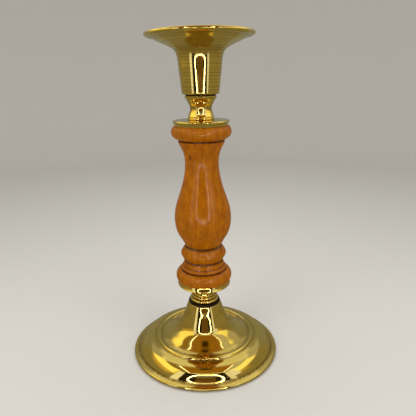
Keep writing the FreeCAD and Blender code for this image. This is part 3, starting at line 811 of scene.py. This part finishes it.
def fibre_finish(name):
    """Dark vulcanised fibre, with the marks of the punch on its edge."""
    darker, browner = (0.007, 0.003, 0.001), (0.030, 0.012, 0.004)
    layer_size, mottle_size = (3.0, 0.25), 1.2
    fibre = Finish(name)
    layers = fibre.grain(*layer_size, detail=3.0)
    mottle = fibre.grain(mottle_size, detail=3.0)
    fibre.set(Base_Color=fibre.mix(fibre.ease(layers, 0.35, 0.7), darker, browner),
              Roughness=fibre.ease(mottle, 0.3, 0.7, start=0.30, end=0.50), Specular_IOR_Level=0.22)
    fibre.relief(layers, strength=0.4, depth=0.08)
    return fibre.material


def steel_finish(name):
    """Zinc-plated steel: fine brushing, with a slightly blue and yellow cast."""
    bluish, yellowish = (0.56, 0.58, 0.61), (0.62, 0.58, 0.48)
    brush_size, cast_size = (0.25, 1.8), 2.5
    steel = Finish(name)
    brushed = steel.grain(*brush_size, detail=3.0)
    cast = steel.grain(cast_size, detail=3.0)
    steel.set(Base_Color=steel.mix(steel.ease(cast, 0.35, 0.7), bluish, yellowish), Metallic=1.0,
              Roughness=steel.ease(brushed, 0.3, 0.7, start=0.24, end=0.42))
    steel.relief(brushed, strength=0.25, depth=0.03)
    return steel.material


def felt_finish(name):
    """Pressed wool felt: matted fibres in every direction, fuzzy at the edge."""
    deep, bright, worn = (0.008, 0.035, 0.015), (0.035, 0.12, 0.05), (0.05, 0.11, 0.055)
    mat_size, swirl_size, patch_size = 0.7, 1.4, 8
    felt = Finish(name)
    swirl = felt.node("ShaderNodeTexNoise", {"Vector": felt.steps(swirl_size), "Scale": 1.0, "Detail": 3.0})
    warped = felt.vector("ADD", felt.steps(mat_size), swirl.outputs["Color"])
    matted = felt.noise(warped, detail=6.0, roughness=0.75, distortion=0.8)
    tone = felt.mix(felt.ease(matted, 0.32, 0.7), deep, bright)
    felt.set(Base_Color=felt.mix(felt.ease(felt.grain(patch_size), 0.45, 0.75, end=0.35), tone, worn),
             Roughness=0.95, Sheen_Weight=0.5, Sheen_Roughness=0.45)
    felt.relief(matted, strength=0.8, depth=0.25)
    return felt.material


def finish_of(name, maker, *facts):
    """The finish of that name, made the first time that it is asked for."""
    return bpy.data.materials.get(name) or maker(name, *facts)


# ---------------------------------------------------------------- operators, one for each group of pieces
FITTING_LINES = 0.3          # how strongly the tool's lines show on the small brass pieces
DISC_HAZE = 1.6


class CANDLESTICK_OT_foot(bpy.types.Operator):
    """Turn the hollow brass foot"""
    bl_idname = "candlestick.foot"
    bl_label = "Foot"

    def execute(self, context):
        settings = context.scene.candlestick_turning
        brass = finish_of("brass_foot", brass_finish, 0.25)
        foot = turned("foot_turned", "foot", foot_outline(settings), brass, uneven=0.05, uneven_size=26)
        place(foot, "root", "polished_brass", "foot")
        return {"FINISHED"}


class CANDLESTICK_OT_felt(bpy.types.Operator):
    """Cut the felt that is glued under the foot"""
    bl_idname = "candlestick.felt"
    bl_label = "Felt pad"

    def execute(self, context):
        settings = context.scene.candlestick_turning
        green = finish_of("green_felt", felt_finish)
        felt = turned("felt_disc", "felt_pad", felt_outline(settings), green, uneven=0.12, uneven_size=1.6)
        place(felt, "root", "felt", "felt_pad")
        return {"FINISHED"}


class CANDLESTICK_OT_collar(bpy.types.Operator):
    """Turn the brass collar and the fibre washer below it"""
    bl_idname = "candlestick.collar"
    bl_label = "Collar and washer"

    def execute(self, context):
        settings = context.scene.candlestick_turning
        fibre = finish_of("pressed_fibre", fibre_finish)
        outline = washer_outline(settings, "neck_washer", wide("tie_rod") + BORE_CLEARANCE)
        washer = turned("neck_washer_pressed", "neck_washer", outline, fibre)
        place(washer, "root", "dark_fibre", "neck_washer")
        brass = finish_of("brass_fittings", brass_finish, FITTING_LINES)
        collar = turned("collar_turned", "lower_collar", collar_outline(settings), brass)
        place(collar, "root", "polished_brass", "lower_collar")
        return {"FINISHED"}


class CANDLESTICK_OT_discs(bpy.types.Operator):
    """Turn the brass discs at both ends of the wood"""
    bl_idname = "candlestick.discs"
    bl_label = "Discs"

    def execute(self, context):
        settings = context.scene.candlestick_turning
        brass = finish_of("brass_discs", brass_finish, FITTING_LINES, DISC_HAZE)
        for node, away in (("lower_disc", -1), ("upper_disc", 1)):
            outline = disc_outline(settings, node, away)
            disc = turned(f"{node}_turned", node, outline, brass, uneven=0.12, uneven_size=9)
            place(disc, "root", "polished_brass", node)
        return {"FINISHED"}


class CANDLESTICK_OT_baluster(bpy.types.Operator):
    """Turn the wooden baluster"""
    bl_idname = "candlestick.baluster"
    bl_label = "Baluster"

    def execute(self, context):
        settings = context.scene.candlestick_turning
        stained = finish_of("stained_wood", wood_finish)
        wood = turned("baluster_turned", "baluster", baluster_outline(settings), stained,
                      uneven=0.10, uneven_size=13)
        place(wood, "root", "varnished_wood", "baluster")
        return {"FINISHED"}


class CANDLESTICK_OT_stem(bpy.types.Operator):
    """Turn the waisted brass stem"""
    bl_idname = "candlestick.stem"
    bl_label = "Stem"

    def execute(self, context):
        settings = context.scene.candlestick_turning
        brass = finish_of("brass_fittings", brass_finish, FITTING_LINES)
        stem = turned("stem_turned", "cup_stem", stem_outline(settings), brass)
        place(stem, "root", "polished_brass", "cup_stem")
        return {"FINISHED"}


class CANDLESTICK_OT_cup(bpy.types.Operator):
    """Turn the candle cup with its drip pan, and the washer that it stands on"""
    bl_idname = "candlestick.cup"
    bl_label = "Candle cup"

    def execute(self, context):
        settings = context.scene.candlestick_turning
        fibre = finish_of("pressed_fibre", fibre_finish)
        outline = washer_outline(settings, "cup_washer", wide("cup_stud") + BORE_CLEARANCE)
        washer = turned("cup_washer_pressed", "cup_washer", outline, fibre)
        place(washer, "cup_seat", "dark_fibre", "cup_washer")
        brass = finish_of("brass_cup", brass_finish, 1.0)
        cup = turned("cup_turned", "candle_cup", cup_outline(settings), brass, marks=True, uneven=0.03)
        place(cup, "cup", "polished_brass", "candle_cup")
        return {"FINISHED"}


class CANDLESTICK_OT_stud(bpy.types.Operator):
    """Cut the threaded stud that holds the cup"""
    bl_idname = "candlestick.stud"
    bl_label = "Threaded stud"

    def execute(self, context):
        settings = context.scene.candlestick_turning
        steel = finish_of("zinc_steel", steel_finish)
        stud = turned("stud_threaded", "cup_stud", stud_outline(settings), steel, segments=48)
        run_tree(stud, thread_tree(), {
            "Pitch": settings.thread_pitch, "Depth": settings.thread_depth, "Lowest": low("cup_stud") * MM,
            "Highest": high("cup_stud") * MM, "Material": steel})
        stud.data.name = stud.name
        place(stud, "cup", "steel", "cup_stud")
        return {"FINISHED"}


class CANDLESTICK_OT_steel(bpy.types.Operator):
    """Give the hidden steel fixings their plated finish"""
    bl_idname = "candlestick.steel"
    bl_label = "Steel fixings"

    def execute(self, context):
        steel = finish_of("zinc_steel", steel_finish)
        for node in ("base_washer", "lock_washer", "foot_nut", "tie_rod", "cup_nut"):
            NODES[node].data.materials.clear()
            NODES[node].data.materials.append(steel)
        return {"FINISHED"}


# ---------------------------------------------------------------- light tent
# The tent's cloth, roof and cards give painted light and shade that show only in reflections.
TENT_RADIUS = 450
TENT_BEARINGS = (33, 327)        # degrees from the front, growing towards the right
TENT_HEIGHTS = (-2, 900)
TENT_TURN_STEP, TENT_STEP, ROOF_STEP = 0.75, 12, 8
ROOF_HEIGHT = 420
ROOF_ACROSS, ROOF_DEEP = (-186, 204), (-290, 330)
FRAME_HEIGHT = ROOF_HEIGHT - 10
OPENING_Y = -530                 # the cards across the front hang one before the other from here
CLOTH_GOLD, ROOF_BROWN = (1.0, 0.88, 0.50), (0.34, 0.17, 0.02)
WARM_WHITE, COOL_WHITE, GOLDEN = (1.0, 1.0, 0.93), (0.95, 1.0, 1.15), (1.0, 0.74, 0.22)
UNLIT = (0.02, 0.015, 0.01)


def glowing(name, colour, strength):
    """A material that only gives light: (material, its emission node)."""
    made = bpy.data.materials.new(name)
    made.use_nodes = True
    made.node_tree.nodes.clear()
    graph = Graph(made.node_tree)
    glow = graph.node("ShaderNodeEmission", {"Color": (*colour, 1.0), "Strength": strength})
    graph.node("ShaderNodeOutputMaterial", {"Surface": glow.outputs[0]})
    return made, glow


def reflected(name, mesh, material):
    """Hangs a card that is seen only in reflections."""
    mesh.materials.append(material)
    card = linked(bpy.data.objects.new(name, mesh))
    for kind in ("camera", "diffuse", "transmission", "volume_scatter", "shadow"):
        setattr(card, f"visible_{kind}", False)


def flat_card(name, corners, colour, strength):
    """A flat card of one brightness. Corners are in millimetres."""
    mesh = bpy.data.meshes.new(name)
    mesh.from_pydata([Vector(corner) * MM for corner in corners], [], [tuple(range(len(corners)))])
    reflected(name, mesh, glowing(name, colour, strength)[0])


def upright_card(name, y, heights, half_widths, colour, strength):
    """A card across the front, with a half width at its lower and at its upper edge."""
    (lower, upper), (below, above) = heights, half_widths
    flat_card(name, [(-below, y, lower), (below, y, lower), (above, y, upper), (-above, y, upper)],
              colour, strength)


def level_card(name, height, across, deep, colour, strength):
    """A card that lies level, between two x and two y."""
    (left, right), (front, back) = across, deep
    corners = [(left, front), (right, front), (right, back), (left, back)]
    flat_card(name, [(x, y, height) for x, y in corners], colour, strength)


def eased(share):
    """A share of the way, held between 0 and 1, that starts and stops softly."""
    share = min(1.0, max(0.0, share))
    return share * share * (3 - 2 * share)


def within(value, limits, blur):
    """One inside the limits, falling smoothly to nothing over the blur."""
    return eased((value - limits[0]) / blur + 0.5) * eased((limits[1] - value) / blur + 0.5)


def glow_at(across, up, base, patches):
    """The colour of the light there: the base with soft-edged patches laid over it in turn."""
    colour = Vector(base)
    for sideways, upright, blurs, tone, strength in patches:
        share = within(across, sideways, blurs[0]) * within(up, upright, blurs[1])
        colour = colour.lerp(Vector(tone) * strength, share)
    return (*colour, 1.0)


def spread(start, end, step):
    """Evenly spaced values from the start to the end, about a step apart."""
    count = max(1, round((end - start) / step))
    return [start + (end - start) * i / count for i in range(count + 1)]


def lit_sheet(name, across, up, spot, base, patches):
    """A grid of cloth whose glow changes smoothly; spot turns grid values into a place in millimetres."""
    cells = [(a, u) for a in across for u in up]
    tall_by = len(up)
    corners = [i * tall_by + j for i in range(len(across) - 1) for j in range(tall_by - 1)]
    mesh = bpy.data.meshes.new(name)
    mesh.from_pydata([Vector(spot(a, u)) * MM for a, u in cells], [],
                     [(c, c + 1, c + tall_by + 1, c + tall_by) for c in corners])
    glow = [channel for a, u in cells for channel in glow_at(a, u, base, patches)]
    mesh.attributes.new("glow", "FLOAT_COLOR", "POINT").data.foreach_set("color", glow)
    made, light = glowing(name, base, 1.0)
    graph = Graph(made.node_tree)
    painted = graph.node("ShaderNodeAttribute", attribute_name="glow")
    graph.fill(light.inputs["Color"], painted.outputs["Color"])
    reflected(name, mesh, made)


def tent_walls(brightness):
    """Cloth hung round the axis and open at the front, which glows with painted patches of light and shade
    that show only in reflections.
    """
    def spot(bearing, height):
        turn = math.radians(bearing)
        return TENT_RADIUS * math.sin(turn), -TENT_RADIUS * math.cos(turn), height

    # bearings, heights, soft edges, colour and brightness; a limit past the cloth leaves no soft edge there
    patches = (
        ((125, 235), (-90, 900), (22, 40), (0.95, 0.95, 0.78), brightness),     # all of the back
        ((36, 112), (600, 990), (9, 60), WARM_WHITE, 0.6),                      # upper right
        ((246, 320), (640, 990), (9, 60), (1.0, 0.62, 0.12), 0.32),             # upper left
        ((112, 246), (520, 990), (18, 90), WARM_WHITE, 0.85),                   # upper back
        ((109, 150), (300, 520), (16, 80), WARM_WHITE, 0.5),                    # right of the back
        ((212, 240), (300, 520), (16, 80), WARM_WHITE, 0.45),                   # left of the back
        ((150, 212), (430, 990), (16, 80), WARM_WHITE, 0.9),                    # middle of the back
        ((54, 78), (205, 330), (14, 60), GOLDEN, 0.52),                         # golden patch, right
        ((253, 300), (205, 330), (16, 60), GOLDEN, 0.66),                       # golden patch, left
        ((48, 108), (310, 580), (12, 80), (1.0, 0.96, 0.50), 1.35),             # bright side, right
        ((241, 306), (310, 605), (12, 80), (1.0, 0.92, 0.40), 1.5),             # bright side, left
        ((37, 58), (215, 520), (5, 60), COOL_WHITE, 1.1),                       # sheen, right
        ((37, 46), (-90, 510), (1.5, 30), COOL_WHITE, 1.0),                     # sheen next to the gap, right
        ((307, 319), (-90, 510), (1.5, 30), COOL_WHITE, 1.15),                  # sheen next to the gap, left
        ((-90, 36.5), (-90, 990), (1.0, 30), UNLIT, 1.0),                       # dark gap, right
        ((319.5, 400), (-90, 990), (1.0, 30), UNLIT, 1.0))                      # dark gap, left
    lit_sheet("cloth", spread(*TENT_BEARINGS, TENT_TURN_STEP), spread(*TENT_HEIGHTS, TENT_STEP), spot,
              tuple(brightness * channel for channel in CLOTH_GOLD), patches)


def tent_roof():
    """Cloth stretched level overhead, which glows a dim brown of painted shade, with a painted dark patch and
    a painted bright patch.
    """
    # x, y, soft edges, colour and brightness
    patches = (
        ((-42, 42), (-98, -30), (44, 40), (0.04, 0.022, 0.003), 1.0),           # dark over the piece's front
        ((-290, 290), (20, 400), (60, 110), (1.0, 1.0, 0.80), 0.8))             # bright at the back
    lit_sheet("roof", spread(*ROOF_ACROSS, ROOF_STEP), spread(*ROOF_DEEP, ROOF_STEP),
              lambda x, y: (x, y, ROOF_HEIGHT), ROOF_BROWN, patches)


def tent_frame(brightness):
    """Light strips along three edges of the roof."""
    (left, right), front = ROOF_ACROSS, ROOF_DEEP[0]
    for name, across, deep, strength in (
            ("frame_left", (left + 2, left + 13), (front + 10, 0), 0.30),
            ("frame_right", (right - 14, right - 4), (front + 10, 0), 0.22),
            ("frame_front", (left + 2, right - 4), (front + 6, front + 18), 0.14)):
        level_card(name, FRAME_HEIGHT, across, deep, (1, 1, 0.97), brightness * strength)


def hoop_light(name, centre, half_sizes, width, colour, strength, count=96, squareness=0.74):
    """A hoop of light stood upright in front of the piece, between a circle and a rounded square."""
    points = []
    for radius_x, radius_z in (half_sizes, (half_sizes[0] - width, half_sizes[1] - width)):
        for i in range(count):
            turn = math.tau * i / count
            c, s = math.cos(turn), math.sin(turn)
            points.append(Vector((centre[0] + radius_x * math.copysign(abs(c)**squareness, c), centre[1],
                                  centre[2] + radius_z * math.copysign(abs(s)**squareness, s))) * MM)
    mesh = bpy.data.meshes.new(name)
    mesh.from_pydata(points, [], [(i, (i + 1) % count, count + (i + 1) % count, count + i)
                                  for i in range(count)])
    reflected(name, mesh, glowing(name, colour, strength)[0])


# ---------------------------------------------------------------- floor, lamps and camera
FLOOR_RADIUS, WALL_RADIUS, WALL_BEND, WALL_HEIGHT = 900, 1200, 300, 900
TOUCHING = 3 * MM            # a ray that starts this near to the paper passes through it
ROOM_COLOUR = (0.95, 0.94, 0.91)
LAMPS = (
    # name, place, height that it is aimed at, side, watts
    ("front_left", (-420, -520, 520), 130, 420, 1.5),
    ("front_right", (430, -480, 500), 130, 420, 1.2),
    ("overhead", (0, 60, 760), 100, 600, 2.0))
CAMERA_PLACE = (0, -0.3262, 0.2204)          # in metres
CAMERA_DOWN, CAMERA_ROLL = math.radians(16.42), math.radians(-1.07)
LENS, SENSOR, SHIFT_X = 37.21, 36.0, 0.0127
NEAREST, FARTHEST = 0.01, 20                 # what the camera sees, in metres


def paper_finish(colour):
    """Matt paper with a faint tooth, which can't be seen from below or by a ray that starts next to it."""
    paper = Finish("pale_paper")
    tooth = paper.grain(6, 6, detail=4.0)
    lighter = tuple(min(1.0, channel * 1.03) for channel in colour)
    paper.set(Base_Color=paper.mix(tooth, tuple(colour), lighter), Roughness=0.85, Specular_IOR_Level=0.2)
    behind = paper.node("ShaderNodeNewGeometry").outputs["Backfacing"]
    touching = paper.math("LESS_THAN", paper.node("ShaderNodeLightPath").outputs["Ray Length"], TOUCHING)
    clear = paper.node("ShaderNodeBsdfTransparent").outputs[0]
    one_sided = paper.node("ShaderNodeMixShader", {0: paper.math("MAXIMUM", behind, touching),
                                                   1: paper.shader.outputs[0], 2: clear})
    paper.fill(paper.output.inputs["Surface"], one_sided.outputs[0])
    return paper.material


def paper_sweep(colour, count=64):
    """The floor: a wide disc of paper that turns up all round into a low wall."""
    floor = Outline(0, 0, step=30)
    floor.line(FLOOR_RADIUS, 0, step=150)
    floor.arc((WALL_RADIUS - 88, 88), (WALL_RADIUS, WALL_BEND))
    floor.line(WALL_RADIUS, WALL_HEIGHT, step=150)
    profile = floor.points[1:]
    points = [(0, 0, -FLOOR_GAP * MM)]
    for p in profile:
        for i in range(count):
            turn = math.tau * i / count
            points.append(Vector((p.x * math.cos(turn), p.x * math.sin(turn), p.y - FLOOR_GAP)) * MM)
    faces = [(0, 1 + i, 1 + (i + 1) % count) for i in range(count)]
    for row in range(len(profile) - 1):
        first, second = 1 + row * count, 1 + (row + 1) * count
        for i in range(count):
            next_i = (i + 1) % count
            faces.append((first + i, second + i, second + next_i, first + next_i))
    mesh = bpy.data.meshes.new("paper_sweep")
    mesh.from_pydata(points, [], faces)
    mesh.shade_smooth()
    mesh.materials.append(paper_finish(colour))
    sweep = linked(bpy.data.objects.new("paper_sweep", mesh))
    # the brass shows a painted floor reflection instead of the paper
    sweep.visible_glossy = False


def soft_light(name, place_mm, aim_height, side, watts):
    """A large soft lamp that lights wood and floor and doesn't show in the brass."""
    lamp = bpy.data.lights.new(name, "AREA")
    lamp.shape = "RECTANGLE"
    lamp.size, lamp.size_y = side * MM, side * MM
    lamp.energy = watts
    thing = linked(bpy.data.objects.new(name, lamp))
    thing.location = Vector(place_mm) * MM
    aim = Vector((0, 0, aim_height)) - Vector(place_mm)
    thing.rotation_euler = aim.to_track_quat("-Z", "Y").to_euler()
    thing.visible_glossy = False
    thing.visible_camera = False


class CANDLESTICK_OT_stage(bpy.types.Operator):
    """Lay the paper floor, and set the light tent, the lamps and the camera"""
    bl_idname = "candlestick.stage"
    bl_label = "Floor, light and camera"

    def execute(self, context):
        settings = context.scene.candlestick_stage
        self.tent(settings)
        for lamp in LAMPS:
            soft_light(*lamp)
        self.camera(context.scene)
        paper_sweep(settings.floor)
        self.room(context.scene, settings.room)
        context.scene.view_settings.view_transform = "Standard"
        return {"FINISHED"}

    def room(self, scene, brightness):
        """Even light from all round."""
        world = bpy.data.worlds.new("pale_room")
        world.use_nodes = True
        background = world.node_tree.nodes["Background"]
        background.inputs["Color"].default_value = (*ROOM_COLOUR, 1.0)
        background.inputs["Strength"].default_value = brightness
        scene.world = world

    def tent(self, settings):
        """The glowing cloth, the roof, the dark opening with its hood, and the hoop round the opening."""
        low_edge, high_edge = TENT_HEIGHTS
        tent_walls(settings.tent)
        # painted reflection: a dim golden card under the paper that the brass shows in place of the floor
        level_card("floor_in_reflections", -1, (-600, 600), (-600, 600), (1.0, 0.90, 0.50), 0.24)
        tent_roof()
        upright_card("opening", OPENING_Y, (low_edge, high_edge), (390, 390), UNLIT, 1.0)
        # painted reflection: a dim brown glow that stands in for the room beyond the opening
        upright_card("room", OPENING_Y + 4, (low_edge, 560), (150, 150), (0.15, 0.085, 0.02), 1.0)
        upright_card("hood", OPENING_Y + 6, (500, 630), (190, 225), (0.85, 1.0, 1.50), 0.38)
        hoop_light("hoop", (0, OPENING_Y + 10, 340), (290, 310), 24, (1.0, 0.99, 0.96), settings.strips)
        tent_frame(settings.strips)

    def camera(self, scene):
        """A short lens a little above the object's middle, tipped down at it."""
        lens = bpy.data.cameras.new("camera")
        lens.lens, lens.sensor_width = LENS, SENSOR
        lens.shift_x = SHIFT_X
        lens.clip_start, lens.clip_end = NEAREST, FARTHEST
        camera = linked(bpy.data.objects.new("camera", lens))
        camera.matrix_world = (Matrix.Translation(CAMERA_PLACE)
                               @ Matrix.Rotation(math.pi / 2 - CAMERA_DOWN, 4, "X")
                               @ Matrix.Rotation(CAMERA_ROLL, 4, "Z"))
        scene.camera = camera


class CANDLESTICK_PT_panel(bpy.types.Panel):
    """Sizes, colours and the steps that make the candlestick"""
    bl_idname = "CANDLESTICK_PT_panel"
    bl_label = "Altar Candlestick"
    bl_space_type = "VIEW_3D"
    bl_region_type = "UI"
    bl_category = "Candlestick"

    def draw(self, context):
        for name in GROUPS:
            settings = getattr(context.scene, name)
            box = self.layout.box()
            box.label(text=name.removeprefix("candlestick_").title())
            for key in settings.bl_rna.properties.keys():
                if key not in ("rna_type", "name"):
                    box.prop(settings, key)
        for step in STEPS:
            self.layout.operator(step.bl_idname)


GROUPS = {"candlestick_turning": TurningSettings, "candlestick_brass": BrassSettings,
          "candlestick_wood": WoodSettings, "candlestick_stage": StageSettings}
STEPS = (CANDLESTICK_OT_foot, CANDLESTICK_OT_felt, CANDLESTICK_OT_collar, CANDLESTICK_OT_discs,
         CANDLESTICK_OT_baluster, CANDLESTICK_OT_stem, CANDLESTICK_OT_cup, CANDLESTICK_OT_stud,
         CANDLESTICK_OT_steel, CANDLESTICK_OT_stage)
CLASSES = (*GROUPS.values(), *STEPS, CANDLESTICK_PT_panel)


def register():
    for each in CLASSES:
        bpy.utils.register_class(each)
    for name, group in GROUPS.items():
        setattr(bpy.types.Scene, name, PointerProperty(type=group))


def unregister():
    for name in GROUPS:
        delattr(bpy.types.Scene, name)
    for each in reversed(CLASSES):
        bpy.utils.unregister_class(each)


def main():
    register()
    for step in STEPS:
        family, name = step.bl_idname.split(".")
        getattr(getattr(bpy.ops, family), name)()


if __name__ == "__main__":
    main()
